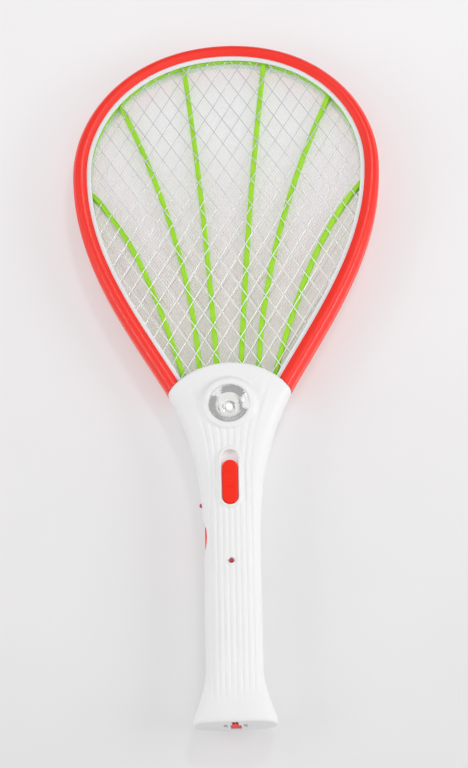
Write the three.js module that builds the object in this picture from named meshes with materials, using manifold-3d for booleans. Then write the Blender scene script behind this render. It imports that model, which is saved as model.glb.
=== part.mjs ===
// Electric fly swatter: a racket-shaped head with three metal grids on two ribbed frames, and a two-shell
// handle that holds the battery, the step-up circuit, a lamp, two switches and a retractable charging plug.
// Millimetres. +Z runs along the handle towards the head, the front (lamp side) faces -Y, and the origin is
// the centre of the handle's flat end. The plane y = 0 is the parting plane of both halves.
import * as THREE from "three";
import { mergeVertices } from "three/addons/utils/BufferGeometryUtils.js";
import Module from "manifold-3d";

const wasm = await Module();
wasm.setup();

// ---------------------------------------------------------------- driving dimensions
const GAP = 0.3; // clearance between neighbouring pieces
const LENGTH = 490;
const HEAD_HALF_WIDTH = 107;
const HEAD_WIDEST_Z = 391.5;
const NECK = new THREE.Vector2(45, 230); // where the head's outline becomes the handle's
const GRIP_HALF_WIDTH = 18.3;
const GRIP_TOP_Z = 115;
const FLARE_TOP_Z = 34;
const END_HALF_WIDTH = 26.5;
const END_EDGE = 3; // height of the flare's last edge above the end face
const GRIP_HALF_DEPTH = 13.6;
const COLLAR_HALF_DEPTH = 11;
const OUTER_FACE = 15.6; // how far the slide cap and the thumb slide stand out from y = 0
const WALL = 1.8;
const END_ROUNDING = 1; // how far the end face stays inside the flare's edge

const COLLAR_RADIUS = 53.5; // the arc where the handle ends on the head
const COLLAR_CENTRE_Z = 188.3;
const TENON_FOOT_Z = 214; // the head's frames reach down into the collar as far as this

const BEZEL_WIDTH = 10;
const BEZEL_DEPTH = 9;
const RING_OUTER_INSET = 4;
const RING_INNER_INSET = 12.9;
const RING_FRONT = 6.7; // distances from the parting plane
const RING_BACK = 5.3;
const OUTER_GRID_Y = 4.7;
const OUTER_GRID_THICKNESS = 0.6;
const RIB_FRAME_FRONT = 4.1;
const RIB_FRAME_BACK = 0.7;
const RIB_WIDTH = 3.4;
const REAR_RIB_WIDTH = 2; // the rear frame is slighter, so that the front one hides it
const REAR_FRAME_INSET = 9.5;
const RIM_OVERLAP = 2; // how far grids and ribs reach in under the rings
const CELL_WIDTH = 36.6; // each grid carries every third wire of the real pitch
const CELL_HEIGHT = 58.2;
const WIRE_WIDTH = 0.9;
const FRAME_FOOT_RADIUS = 39.5; // bottom bars of the head frames, hidden in the collar
const WINDOW_FOOT_RADIUS = 47.5;

const LAMP_Z = 211.4;
const LAMP_RADIUS = 13.5;
const LAMP_RIM_RADIUS = 17.2;
const LAMP_RIM_FACE = 14.9;
const LAMP_BOARD_LED_RADIUS = 2.5;

const SLOT_Z0 = 141;
const SLOT_LENGTH = 37.8;
const SLOT_HALF_WIDTH = 5.45;
const SLOT_FLOOR = 11.4; // distance of the recess floor from the parting plane
const SLOT_RIM = 2; // width of the raised rim round the recess
const SLOT_RIM_FACE = 14.6;
const SLIDE_TRAVEL = 6.9;
const SLIDE_PLAY = 0.4; // clearance round the slide cap
const STEM_START = 12; // where the cap's stem starts above the recess's lower end
const STEM_LENGTH = 6;
const STEM_HALF_WIDTH = 2;

const BUTTON_Z = 121.3;
const BUTTON_HALF_LENGTH = 9.7;
const BUTTON_HALF_HEIGHT = 4.4;
const BUTTON_TRAVEL = 1.5;
const BUTTON_FACE_X = -17.4;
const BUTTON_BACK_X = -13.2;
const BUTTON_FLANGE = 1;
const SCALLOP = { depth: 2.4, halfLength: 12.5 }; // the finger hollow round the push button

const FRONT_LED_Z = 103.6;
const SIDE_LED_Z = 145.3;
const SIDE_LED_TIP = -21.3;
const LED_RADIUS = 1.5;

const PLUG_TRAVEL = 18;
const PLUG_TIP_Z = 0.4; // the retracted plug stops just inside the end face
// The plug's nose is T-shaped: a narrow tongue at the front and a wider body behind it.
const NOSE = { tongue: 1.9, body: 3.2, front: -10, step: -1, back: 9.4 };
const MOUTH_PLAY = 0.3;
const PLUG_STEM = { z0: 27, z1: 33, halfWidth: 2 };
const BLADE_PITCH = 12.7;
const BLADE = { thickness: 1.5, width: 6.3, length: 29.6 };
const THUMB_PAD = { z0: 23, z1: 37, halfWidth: 5, underside: 14.2, ridgePitch: 3, ridges: 4 };
const BOARD_FRONT = 1; // faces of the circuit board
const BOARD_BACK = 2.6;

// Screws in mirrored pairs, with the radius of the posts they run in.
const HOUSING_SCREWS = [
  { x: 27, z: 205, post: 4.2 },
  { x: 12.6, z: 96, post: 3.7 },
  { x: 17, z: 11.5, post: 4.2 },
];
const SCREW_SEAT = 6; // distance from the parting plane to the seat under a screw head
const SCREW_HEAD_RADIUS = 2.7;
const SCREW_SHANK_RADIUS = 1.25;
const SCREW_TIP = 7.6; // how far the shank reaches in front of the parting plane
const PILOT_CLEARANCE = 0.35;

// ---------------------------------------------------------------- materials
const finish = (color, roughness, metalness = 0, extra = {}) =>
  new THREE.MeshStandardMaterial({ color, roughness, metalness, ...extra });
const white = finish("#ececea", 0.42);
const red = finish("#f5301f", 0.25);
const green = finish("#8fdc28", 0.45);
const steel = finish("#b9bcc0", 0.35, 1);
const gridMetal = finish("#d6d6d4", 0.38, 1);
const darkGridMetal = finish("#8d8d8b", 0.45, 1);
const chrome = finish("#e8eaec", 0.06, 1);
const clear = finish("#f4f8fa", 0.05, 0, { transparent: true, opacity: 0.3 });
const redClear = finish("#e02030", 0.12);
const black = finish("#202122", 0.5);
const boardGreen = finish("#2b6b3a", 0.5);
const yellow = finish("#d8b83a", 0.5);
const brown = finish("#8a4b26", 0.5);

// ---------------------------------------------------------------- solids
// A closed geometry as a solid that can be joined and cut.
function solid(geometry) {
  const bare = geometry.clone();
  bare.deleteAttribute("normal");
  bare.deleteAttribute("uv");
  const merged = mergeVertices(bare, 1e-4);
  return new wasm.Manifold(
    new wasm.Mesh({
      numProp: 3,
      vertProperties: merged.attributes.position.array,
      triVerts: new Uint32Array(merged.index.array),
    }),
  );
}

const union = (parts) => parts.reduce((sum, part) => sum.add(part));
const cut = (body, tools) => tools.reduce((rest, tool) => rest.subtract(tool), body);

const far = 300; // reaches past the whole object sideways and upwards
const through = 40; // reaches past the whole object from front to back

const group = new THREE.Group();

// Adds one named piece to the assembly.
function piece(name, body, material) {
  const made = body.getMesh();
  const geometry = new THREE.BufferGeometry();
  geometry.setAttribute("position", new THREE.BufferAttribute(made.vertProperties, 3));
  geometry.setIndex(new THREE.BufferAttribute(made.triVerts, 1));
  geometry.computeVertexNormals();
  const mesh = new THREE.Mesh(geometry, material);
  mesh.name = name;
  group.add(mesh);
}

// A box given by its lowest and highest corners.
function box(low, high) {
  const size = high.map((value, i) => value - low[i]);
  const centre = high.map((value, i) => (value + low[i]) / 2);
  return solid(new THREE.BoxGeometry(...size).translate(...centre));
}

// A cylinder on an axis parallel to Y, from y0 to y1, that may taper.
function post(x, z, radius, y0, y1, segments = 16, farRadius = radius) {
  const low = Math.min(y0, y1);
  const high = Math.max(y0, y1);
  const [top, bottom] = y1 > y0 ? [farRadius, radius] : [radius, farRadius];
  const geometry = new THREE.CylinderGeometry(top, bottom, high - low, segments);
  return solid(geometry.translate(x, (low + high) / 2, z));
}

// A profile of [radius, y] points turned about an axis parallel to Y.
function turned(profile, x, z, segments) {
  const points = profile.map(([radius, y]) => new THREE.Vector2(radius, y));
  return solid(new THREE.LatheGeometry(points, segments).translate(x, 0, z));
}

// A flat outline in the XZ plane, made solid from y0 to y1.
function plate(points, y0, y1) {
  const depth = y1 - y0;
  const geometry = new THREE.ExtrudeGeometry(new THREE.Shape(points), { depth, bevelEnabled: false });
  return solid(geometry.rotateX(Math.PI / 2).translate(0, y1, 0));
}

// A stadium outline: straight sides along Z and round ends.
function stadium(halfWidth, z0, z1, arcSteps = 8) {
  const arc = (centreZ, start) =>
    Array.from({ length: arcSteps + 1 }, (_, i) => {
      const angle = start + (Math.PI * i) / arcSteps;
      return new THREE.Vector2(halfWidth * Math.cos(angle), centreZ + halfWidth * Math.sin(angle));
    });
  return [...arc(z1 - halfWidth, 0), ...arc(z0 + halfWidth, Math.PI)];
}

// Sections of equal length joined in order. The profile is the sections' outline in 2-D, anticlockwise, and
// gives the faces of both end caps.
function loft(sections, profile) {
  const count = profile.length;
  const last = (sections.length - 1) * count;
  const faces = [];
  for (let start = 0; start < last; start += count) {
    for (let i = 0; i < count; i++) {
      const a = start + i;
      const b = start + ((i + 1) % count);
      faces.push(a, b, b + count, a, b + count, a + count);
    }
  }
  for (const [i, j, k] of THREE.ShapeUtils.triangulateShape(profile, [])) {
    faces.push(i, k, j, last + i, last + j, last + k);
  }
  const vertices = sections.flat().flatMap((p) => [p.x, p.y, p.z]);
  const geometry = new THREE.BufferGeometry();
  geometry.setAttribute("position", new THREE.Float32BufferAttribute(vertices, 3));
  geometry.setIndex(faces);
  return solid(geometry);
}

// A round wire through the given points.
function wire(points, radius, steps = 8) {
  const path = new THREE.CatmullRomCurve3(points.map((p) => new THREE.Vector3(...p)));
  const section = new THREE.Shape().absarc(0, 0, radius, 0, 2 * Math.PI);
  const options = { steps, curveSegments: 3, extrudePath: path };
  return solid(new THREE.ExtrudeGeometry(section, options));
}

const mirrorY = (body) => body.mirror([0, 1, 0]);

// ---------------------------------------------------------------- outlines
const curve = (...points) => new THREE.CubicBezierCurve(...points.map((p) => new THREE.Vector2(...p)));

// The right-hand side of the whole outline, from the apex of the head down to the end face.
const neckTop = NECK.toArray();
const headUpper = curve(
  [0, LENGTH],
  [69, LENGTH],
  [HEAD_HALF_WIDTH, HEAD_WIDEST_Z + 47],
  [HEAD_HALF_WIDTH, HEAD_WIDEST_Z],
);
const headLower = curve(
  [HEAD_HALF_WIDTH, HEAD_WIDEST_Z],
  [HEAD_HALF_WIDTH, HEAD_WIDEST_Z - 63],
  [NECK.x + 28.8, NECK.y + 49.4],
  neckTop,
);
const neck = curve(neckTop, [24.8, 195.3], [GRIP_HALF_WIDTH, 158], [GRIP_HALF_WIDTH, GRIP_TOP_Z]);
const flare = curve(
  [GRIP_HALF_WIDTH, FLARE_TOP_Z],
  [GRIP_HALF_WIDTH, 26],
  [24, 10.5],
  [END_HALF_WIDTH, END_EDGE],
);

// Points of the head's outline moved inwards by an inset, from one foot over the apex to the other.
function headOutline(inset, footZ = 205) {
  const side = [];
  for (const [part, steps] of [[headUpper, 11], [headLower, 7], [neck, 4]]) {
    for (let i = side.length ? 1 : 0; i <= steps; i++) {
      const t = part === neck ? (0.32 * i) / steps : i / steps;
      const tangent = part.getTangent(t);
      const point = part.getPoint(t).add(new THREE.Vector2(tangent.y, -tangent.x).multiplyScalar(inset));
      if (point.y >= footZ) side.push(point);
    }
  }
  const left = side.slice(1).map((p) => new THREE.Vector2(-p.x, p.y));
  return [...left.reverse(), ...side];
}

// The outward direction of the outline at each of its points.
function outlineNormals(points) {
  return points.map((_, i) => {
    const before = points[Math.max(i - 1, 0)];
    const after = points[Math.min(i + 1, points.length - 1)];
    const along = after.clone().sub(before).normalize();
    return new THREE.Vector2(-along.y, along.x);
  });
}

// ---------------------------------------------------------------- handle envelope
const smooth = THREE.MathUtils.smoothstep;

// Half the handle's width at each height, with more stations where the outline bends.
function handleStations() {
  const from = (part, steps) => Array.from({ length: steps + 1 }, (_, i) => part.getPoint(1 - i / steps));
  const collar = Array.from({ length: 3 }, (_, i) => headLower.getPoint(0.95 - 0.05 * i));
  const rows = [...from(flare, 3), ...from(neck, 7), ...collar];
  return rows.map((p) => ({ z: p.y, halfWidth: p.x }));
}

const halfDepth = (z) => GRIP_HALF_DEPTH - (GRIP_HALF_DEPTH - COLLAR_HALF_DEPTH) * smooth(z, 190, 242);
const squareness = (z) => 2.8 + 1.2 * smooth(z, 150, 235);

// A handle section: a rounded rectangle by the superellipse formula.
function handleSection(z, halfWidth, depth) {
  const steps = 12;
  const power = 2 / squareness(z);
  const along = (value) => Math.sign(value) * Math.abs(value) ** power;
  return Array.from({ length: 2 * steps }, (_, i) => {
    const angle = (Math.PI * i) / steps;
    return new THREE.Vector2(halfWidth * along(Math.cos(angle)), depth * along(Math.sin(angle)));
  });
}

// The handle's solid outer form moved inwards by an inset, from the end face up past the collar.
function handleForm(inset, endZ = 0) {
  const stations = handleStations().filter(({ z }) => z > endZ + 0.5);
  const edge = { z: endZ, halfWidth: stations[0].halfWidth - END_ROUNDING };
  const sections = [edge, ...stations].map(({ z, halfWidth }) =>
    handleSection(z, halfWidth - inset, halfDepth(z) - inset),
  );
  const heights = [edge, ...stations].map(({ z }) => z);
  const placed = sections.map((section, s) => section.map((p) => new THREE.Vector3(p.x, p.y, heights[s])));
  return loft(placed, sections[0]);
}

const underCollar = (grow) =>
  union([
    post(0, COLLAR_CENTRE_Z, COLLAR_RADIUS + grow, -through, through, 56),
    box([-far, -through, -far], [far, through, COLLAR_CENTRE_Z]),
  ]);
const handleHollow = handleForm(WALL, WALL);
const belowTenon = box([-far, -through, -far], [far, through, TENON_FOOT_Z]);
const tenonSpace = handleForm(WALL + GAP, WALL + GAP).subtract(belowTenon);

// A head piece stops short of the collar's edge, and only what fits inside the collar runs on.
const letIntoCollar = (body) => body.subtract(underCollar(GAP)).add(body.intersect(tenonSpace));

// ---------------------------------------------------------------- head
// The red bezel's section, as [inset, distance from the parting plane]: outer wall, ridge, front facet, lip.
const bezelProfile = [
  [0, GAP / 2],
  [0, 5],
  [2.6, BEZEL_DEPTH - 0.4],
  [3.8, BEZEL_DEPTH],
  [BEZEL_WIDTH, BEZEL_DEPTH - 1.2],
  [BEZEL_WIDTH, RING_FRONT + GAP],
  [3.4, RING_FRONT + GAP],
  [2, 4.6],
  [2, GAP / 2],
].map(([inset, depth]) => new THREE.Vector2(inset, -depth));

function frontBezel() {
  const path = headOutline(0);
  const normals = outlineNormals(path);
  const profile = bezelProfile.slice().reverse();
  const ordered = THREE.ShapeUtils.isClockWise(profile) ? profile.reverse() : profile;
  const sections = path.map((p, i) =>
    ordered.map((q) => new THREE.Vector3(p.x - normals[i].x * q.x, q.y, p.y - normals[i].y * q.x)),
  );
  return loft(sections, ordered);
}

// The head's outline at an inset, filled in above a foot that follows the collar's arc.
function headPlate(inset, footRadius, y0, y1) {
  const foot = post(0, COLLAR_CENTRE_Z, footRadius, -through, through, 36);
  const below = box([-far, -through, -far], [far, through, COLLAR_CENTRE_Z + 20]);
  return cut(plate(headOutline(inset), y0, y1), [foot, below]);
}

// A frame that follows the outline between two insets.
function headRing(outerInset, innerInset, y0, y1) {
  const window = headPlate(innerInset, WINDOW_FOOT_RADIUS, y0 - 1, y1 + 1);
  return headPlate(outerInset, FRAME_FOOT_RADIUS, y0, y1).subtract(window);
}

const gridRing = () => headRing(RING_OUTER_INSET, RING_INNER_INSET, -RING_FRONT, -RING_BACK);

// Centre lines of the ribs on the +X side, inner, middle and outer; the -X side mirrors them.
const ribCurves = [
  curve([29.5, 482], [19, 395], [13, 330], [7.5, 232]),
  curve([79.5, 458], [42, 378], [22, 300], [19.5, 232]),
  curve([106, 388], [69, 356], [48.5, 300], [28, 226]),
];

// A band of even width along a rib's centre line.
function rib(line, width, mirror) {
  const centre = line.getPoints(7).map((p) => new THREE.Vector2(mirror * p.x, p.y));
  const normals = outlineNormals(centre);
  const reach = width / 2;
  const sideAt = (sign) => centre.map((p, i) => p.clone().addScaledVector(normals[i], sign * reach));
  return plate([...sideAt(1), ...sideAt(-1).reverse()], -RIB_FRAME_FRONT, -RIB_FRAME_BACK);
}

function ribFrame(ribWidth, innerInset) {
  const ring = headRing(RING_OUTER_INSET, innerInset, -RIB_FRAME_FRONT, -RIB_FRAME_BACK);
  const bounds = headPlate(innerInset - RIM_OVERLAP, WINDOW_FOOT_RADIUS - 2, -through, through);
  const ribs = ribCurves.flatMap((line) => [rib(line, ribWidth, 1), rib(line, ribWidth, -1)]);
  return ring.add(union(ribs).intersect(bounds));
}

// One wire grid: a rim round a lattice of crossing wires.
function grid(centreY, thickness) {
  const y0 = centreY - thickness / 2;
  const y1 = centreY + thickness / 2;
  const rim = headRing(RING_OUTER_INSET + RIM_OVERLAP, RING_INNER_INSET - 1, y0, y1);
  const slope = Math.atan2(CELL_HEIGHT, CELL_WIDTH);
  const wires = [];
  for (const lean of [slope, -slope]) {
    for (let x = -8 * CELL_WIDTH; x <= 8 * CELL_WIDTH; x += CELL_WIDTH) {
      const bar = new THREE.BoxGeometry(2 * far, thickness, WIRE_WIDTH).rotateY(lean);
      wires.push(solid(bar.translate(x, centreY, HEAD_WIDEST_Z)));
    }
  }
  const window = headPlate(RING_INNER_INSET - RIM_OVERLAP, WINDOW_FOOT_RADIUS - 1, -through, through);
  return rim.add(wasm.Manifold.union(wires).intersect(window));
}

const headPieces = [
  ["front_bezel", frontBezel(), red],
  ["rear_bezel", mirrorY(frontBezel()), red],
  ["front_grid_ring", gridRing(), white],
  ["rear_grid_ring", mirrorY(gridRing()), white],
  ["front_rib_frame", ribFrame(RIB_WIDTH, RING_INNER_INSET), green],
  ["rear_rib_frame", mirrorY(ribFrame(REAR_RIB_WIDTH, REAR_FRAME_INSET)), green],
  ["front_grid", grid(-OUTER_GRID_Y, OUTER_GRID_THICKNESS), gridMetal],
  ["middle_grid", grid(0, OUTER_GRID_THICKNESS), darkGridMetal],
  ["rear_grid", grid(OUTER_GRID_Y, OUTER_GRID_THICKNESS), darkGridMetal],
];
for (const [name, body, material] of headPieces) piece(name, letIntoCollar(body), material);

// ---------------------------------------------------------------- handle shells
// A stadium in the YZ plane round the push button's centre, from x0 to x1.
function sidePad(halfLength, halfHeight, x0, x1) {
  const shape = new THREE.Shape(stadium(halfHeight, -halfLength, halfLength, 6));
  const geometry = new THREE.ExtrudeGeometry(shape, { depth: x1 - x0, bevelEnabled: false });
  return solid(geometry.rotateY(Math.PI / 2).rotateX(Math.PI / 2).translate(x0, 0, BUTTON_Z));
}

// A cylinder along X on the line y = 0.
function alongX(radius, x0, x1, z, segments = 12) {
  const geometry = new THREE.CylinderGeometry(radius, radius, x1 - x0, segments);
  return solid(geometry.rotateZ(Math.PI / 2).translate((x0 + x1) / 2, 0, z));
}

const bladeX = BLADE_PITCH / 2;

// The plug nose's two blocks, grown by a margin, from z0 to z1.
const noseBlocks = (grow, z0, z1) => [
  box([-NOSE.tongue - grow, NOSE.front - grow, z0], [NOSE.tongue + grow, NOSE.step + 1, z1]),
  box([-NOSE.body - grow, NOSE.step - grow, z0], [NOSE.body + grow, NOSE.back + grow, z1]),
];

// What is cut out of both shells: the openings for the plug's nose and blades, the push button's window and
// finger scallop, and the side lamp's hole.
const bladeSlit = (side) => {
  const halfWidth = BLADE.width / 2 + MOUTH_PLAY;
  const halfGap = BLADE.thickness / 2 + MOUTH_PLAY;
  return box([side * bladeX - halfGap, -halfWidth, -1], [side * bladeX + halfGap, halfWidth, WALL + 1]);
};
const plugMouth = union([...noseBlocks(MOUTH_PLAY, -1, WALL + 1), bladeSlit(-1), bladeSlit(1)]);
const scallopRadius = (SCALLOP.halfLength ** 2 + SCALLOP.depth ** 2) / (2 * SCALLOP.depth);
const scallopX = -GRIP_HALF_WIDTH + SCALLOP.depth - scallopRadius;
const scallop = post(scallopX, BUTTON_Z, scallopRadius, -through, through, 120);
const buttonWindow = box(
  [-through, -BUTTON_HALF_HEIGHT - GAP, BUTTON_Z - BUTTON_HALF_LENGTH - GAP],
  [BUTTON_BACK_X - GAP, BUTTON_HALF_HEIGHT + GAP, BUTTON_Z + BUTTON_HALF_LENGTH + GAP],
);
const sideLedHole = alongX(LED_RADIUS + GAP, -through, -12, SIDE_LED_Z);
const sharedCuts = [plugMouth, scallop, buttonWindow, sideLedHole];

// The wall is thicker behind the finger scallop.
const scallopPad = box(
  [-GRIP_HALF_WIDTH, -9.5, BUTTON_Z - SCALLOP.halfLength - 1],
  [BUTTON_BACK_X - BUTTON_FLANGE - GAP, 9.5, BUTTON_Z + SCALLOP.halfLength + 1],
);

const eachScrew = (make) => HOUSING_SCREWS.flatMap((s) => [make(s, s.x), make(s, -s.x)]);

// One half of the handle as a hollow shell with its inner posts, open at the parting plane and the collar.
function shell(half, insides) {
  const outer = handleForm(0).intersect(half).intersect(underCollar(0));
  const kept = union(insides).intersect(handleForm(GAP)).intersect(half);
  return outer.subtract(handleHollow).add(kept);
}

function frontHousing() {
  const half = box([-far, -through, -1], [far, -GAP / 2, far]);
  const slotEnd = SLOT_Z0 + SLOT_LENGTH;
  const bosses = eachScrew((s, x) => post(x, s.z, s.post - 0.4, -through, 0, 12));
  const slotPad = box(
    [-SLOT_HALF_WIDTH - WALL, -SLOT_FLOOR - 1.2, SLOT_Z0 - SLOT_RIM],
    [SLOT_HALF_WIDTH + WALL, WALL - SLOT_FLOOR, slotEnd + SLOT_RIM],
  );
  const rimFoot = LAMP_RIM_RADIUS + 2.5;
  const lampRim = post(0, LAMP_Z, LAMP_RIM_RADIUS, -LAMP_RIM_FACE, -COLLAR_HALF_DEPTH, 32, rimFoot);
  const rimOutline = stadium(SLOT_HALF_WIDTH + SLOT_RIM, SLOT_Z0 - SLOT_RIM, slotEnd + SLOT_RIM);
  const slotRim = plate(rimOutline, -SLOT_RIM_FACE, -SLOT_FLOOR - 1);
  const stemSlot = box(
    [-STEM_HALF_WIDTH - GAP, -SLOT_FLOOR - 1, SLOT_Z0 + STEM_START - GAP],
    [STEM_HALF_WIDTH + GAP, 0, SLOT_Z0 + STEM_START + STEM_LENGTH + SLIDE_TRAVEL + GAP],
  );
  return cut(union([shell(half, [...bosses, slotPad, scallopPad]), lampRim, slotRim]), [
    post(0, LAMP_Z, LAMP_RADIUS, -through, -8, 32),
    plate(stadium(SLOT_HALF_WIDTH, SLOT_Z0, slotEnd), -through, -SLOT_FLOOR),
    stemSlot,
    post(0, FRONT_LED_Z, LED_RADIUS + GAP, -through, -8, 12),
    ...eachScrew((s, x) => post(x, s.z, SCREW_SHANK_RADIUS + PILOT_CLEARANCE, -SCREW_TIP - 0.7, 0, 8)),
    ...sharedCuts,
  ]);
}

function rearHousing() {
  const half = box([-far, GAP / 2, -1], [far, through, far]);
  const posts = eachScrew((s, x) => post(x, s.z, s.post, 0, through, 12));
  const thumbSlot = box(
    [-PLUG_STEM.halfWidth - 0.6, SCREW_SEAT, PLUG_STEM.z0 - PLUG_TRAVEL - 0.5],
    [PLUG_STEM.halfWidth + 0.6, through, PLUG_STEM.z1 + 0.5],
  );
  return cut(shell(half, [...posts, scallopPad]), [
    ...eachScrew((s, x) => post(x, s.z, SCREW_HEAD_RADIUS + 0.4, SCREW_SEAT, through, 12)),
    ...eachScrew((s, x) => post(x, s.z, SCREW_SHANK_RADIUS + PILOT_CLEARANCE, 0, SCREW_SEAT + 1, 8)),
    thumbSlot,
    ...sharedCuts,
  ]);
}

function housingScrew(x, z) {
  const seat = SCREW_SEAT + GAP;
  const profile = [
    [0, -SCREW_TIP],
    [SCREW_SHANK_RADIUS, -SCREW_TIP],
    [SCREW_SHANK_RADIUS, seat],
    [SCREW_HEAD_RADIUS, seat],
    [SCREW_HEAD_RADIUS - 0.2, seat + 1.8],
    [0, seat + 2],
  ];
  return turned(profile, x, z, 10);
}

piece("front_housing", frontHousing(), white);
piece("rear_housing", rearHousing(), white);
const housingScrews = eachScrew((s, x) => housingScrew(x, s.z));
housingScrews.forEach((screw, i) => piece(`housing_screw_${i + 1}`, screw, steel));

// ---------------------------------------------------------------- lamp and indicator lamps
const reflectorProfile = [
  [3, -4.4],
  [5.8, -5.2],
  [9.6, -7.8],
  [12.1, -11],
  [12.6, -13.2],
  [LAMP_RADIUS - GAP, -13.2],
  [12.9, -10.6],
  [10.2, -7],
  [6.2, -4.3],
  [3, -3.4],
  [3, -4.4],
];
const lampLensProfile = [
  [0, -14.2],
  [LAMP_RADIUS - GAP, -13.8],
  [LAMP_RADIUS - GAP, -13.5],
  [0, -13.5],
];
// A round-nosed lamp body, from its tip to its back.
const ledProfile = (radius, tip, back) => [
  [0, tip],
  [radius * 0.7, tip + radius * 0.3],
  [radius, tip + radius],
  [radius, back],
  [0, back],
];
function sideLed() {
  const halfSection = ledProfile(LED_RADIUS, SIDE_LED_TIP, -15);
  const profile = halfSection.map(([radius, x]) => new THREE.Vector2(radius, x));
  return solid(new THREE.LatheGeometry(profile, 10).rotateZ(-Math.PI / 2).translate(0, 0, SIDE_LED_Z));
}

piece("lamp_reflector", turned(reflectorProfile, 0, LAMP_Z, 28), chrome);
piece("lamp_lens", turned(lampLensProfile, 0, LAMP_Z, 24), clear);
piece("lamp_led", turned(ledProfile(LAMP_BOARD_LED_RADIUS, -9.6, -1.2), 0, LAMP_Z, 12), clear);
piece("front_indicator_led", turned(ledProfile(LED_RADIUS, -14.6, -8.6), 0, FRONT_LED_Z, 10), redClear);
piece("side_indicator_led", sideLed(), redClear);

// ---------------------------------------------------------------- slide switch
const capZ0 = SLOT_Z0 + SLIDE_PLAY;
const capZ1 = SLOT_Z0 + SLOT_LENGTH - SLIDE_TRAVEL - SLIDE_PLAY;
const capHalfWidth = SLOT_HALF_WIDTH - SLIDE_PLAY;
const stemZ0 = SLOT_Z0 + STEM_START;
const stemZ1 = stemZ0 + STEM_LENGTH;
const leverTop = 8;
const lever = { halfWidth: 1.3, z0: stemZ0 + 1.2, z1: stemZ1 - 1.2, foot: 3.4 };
const switchLever = box([-lever.halfWidth, -leverTop, lever.z0], [lever.halfWidth, -lever.foot, lever.z1]);

function slideCap() {
  const crownInset = 1;
  const base = plate(stadium(capHalfWidth, capZ0, capZ1), -SLOT_RIM_FACE, -SLOT_FLOOR - GAP);
  const crownOutline = stadium(capHalfWidth - crownInset, capZ0 + crownInset, capZ1 - crownInset);
  const crown = plate(crownOutline, -OUTER_FACE, -SLOT_RIM_FACE);
  const stem = box(
    [-STEM_HALF_WIDTH, -SLOT_FLOOR - GAP, stemZ0],
    [STEM_HALF_WIDTH, -leverTop - GAP, stemZ1],
  );
  return union([base, crown, stem]);
}

function switchBody() {
  const margin = 6;
  const can = box([-4.5, -6, stemZ0 - margin], [4.5, BOARD_FRONT - GAP, stemZ1 + SLIDE_TRAVEL + margin]);
  const track = box(
    [-lever.halfWidth - 0.5, -leverTop, lever.z0 - 0.5],
    [lever.halfWidth + 0.5, -lever.foot + 0.4, lever.z1 + SLIDE_TRAVEL + 0.5],
  );
  return can.subtract(track);
}

piece("slide_cap", slideCap(), red);
piece("switch_lever", switchLever, black);
piece("switch_body", switchBody(), steel);

// ---------------------------------------------------------------- push button
function sideButton() {
  const flange = [BUTTON_HALF_LENGTH + BUTTON_FLANGE, BUTTON_HALF_HEIGHT + BUTTON_FLANGE];
  const cap = sidePad(BUTTON_HALF_LENGTH, BUTTON_HALF_HEIGHT, BUTTON_FACE_X, BUTTON_BACK_X);
  return cap.add(sidePad(...flange, BUTTON_BACK_X - BUTTON_FLANGE, BUTTON_BACK_X));
}

function tactSwitch() {
  const tipX = BUTTON_BACK_X + BUTTON_TRAVEL + GAP;
  const plunger = box([tipX, -2.2, BUTTON_Z - 1.4], [tipX + 1.4, 0, BUTTON_Z + 1.4]);
  return plunger.add(box([tipX + 1.2, -3, BUTTON_Z - 3], [tipX + 4.4, BOARD_FRONT - 0.4, BUTTON_Z + 3]));
}

piece("side_button", sideButton(), red);
piece("tact_switch", tactSwitch(), black);

// ---------------------------------------------------------------- circuit and battery
const boardFront = BOARD_FRONT - GAP;
const boardBack = BOARD_BACK + GAP;
const boardEdge = BUTTON_BACK_X + BUTTON_TRAVEL + 2 * GAP; // clear of the pressed button
const boughtParts = [
  ["circuit_board", boardGreen, [boardEdge, BOARD_FRONT, 101], [12.5, BOARD_BACK, 192]],
  ["step_up_transformer", yellow, [-7, -9, 180.5], [7, boardFront, 193]],
  ["storage_capacitor", brown, [-9, boardBack, 150], [9, 10.4, 164]],
  ["film_capacitor", brown, [-6, boardBack, 170], [6, 9.2, 181]],
  ["drive_transistor", black, [4, -5.6, 124], [9, boardFront, 128]],
  ["battery", black, [-9.6, -10.4, 44], [9.6, 7.8, 91]],
];
for (const [name, material, low, high] of boughtParts) piece(name, box(low, high), material);

const resistorRadius = 1.6;
const resistor = alongX(resistorRadius, -6, 6, 134, 8).translate(0, boardBack + resistorRadius, 0);
piece("discharge_resistor", resistor, brown);

// ---------------------------------------------------------------- charging plug
// The nose between the blades, the block that grips them and the stem that goes out to the thumb slide.
function plugCarrier() {
  const block = box([-9.4, -6.4, 20], [9.4, 8.4, PLUG_STEM.z1]);
  const stem = box([-PLUG_STEM.halfWidth, 8, PLUG_STEM.z0], [PLUG_STEM.halfWidth, 13.9, PLUG_STEM.z1]);
  const seats = [-1, 1].map((side) =>
    box([side * bladeX - 1.1, -3.6, 19], [side * bladeX + 1.1, 3.6, PLUG_TIP_Z + BLADE.length + 0.4]),
  );
  return cut(union([...noseBlocks(0, PLUG_TIP_Z, 20.5), block, stem]), seats);
}

function plugBlade(side) {
  const x = side * bladeX;
  return box(
    [x - BLADE.thickness / 2, -BLADE.width / 2, PLUG_TIP_Z],
    [x + BLADE.thickness / 2, BLADE.width / 2, PLUG_TIP_Z + BLADE.length],
  );
}

// The leaf that the blades' carrier slides along.
function plugContact(side) {
  const x = side * (bladeX + 1.2);
  return box([x - 0.3, 9.6, 16], [x + 0.3, 11, 40]);
}

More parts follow.
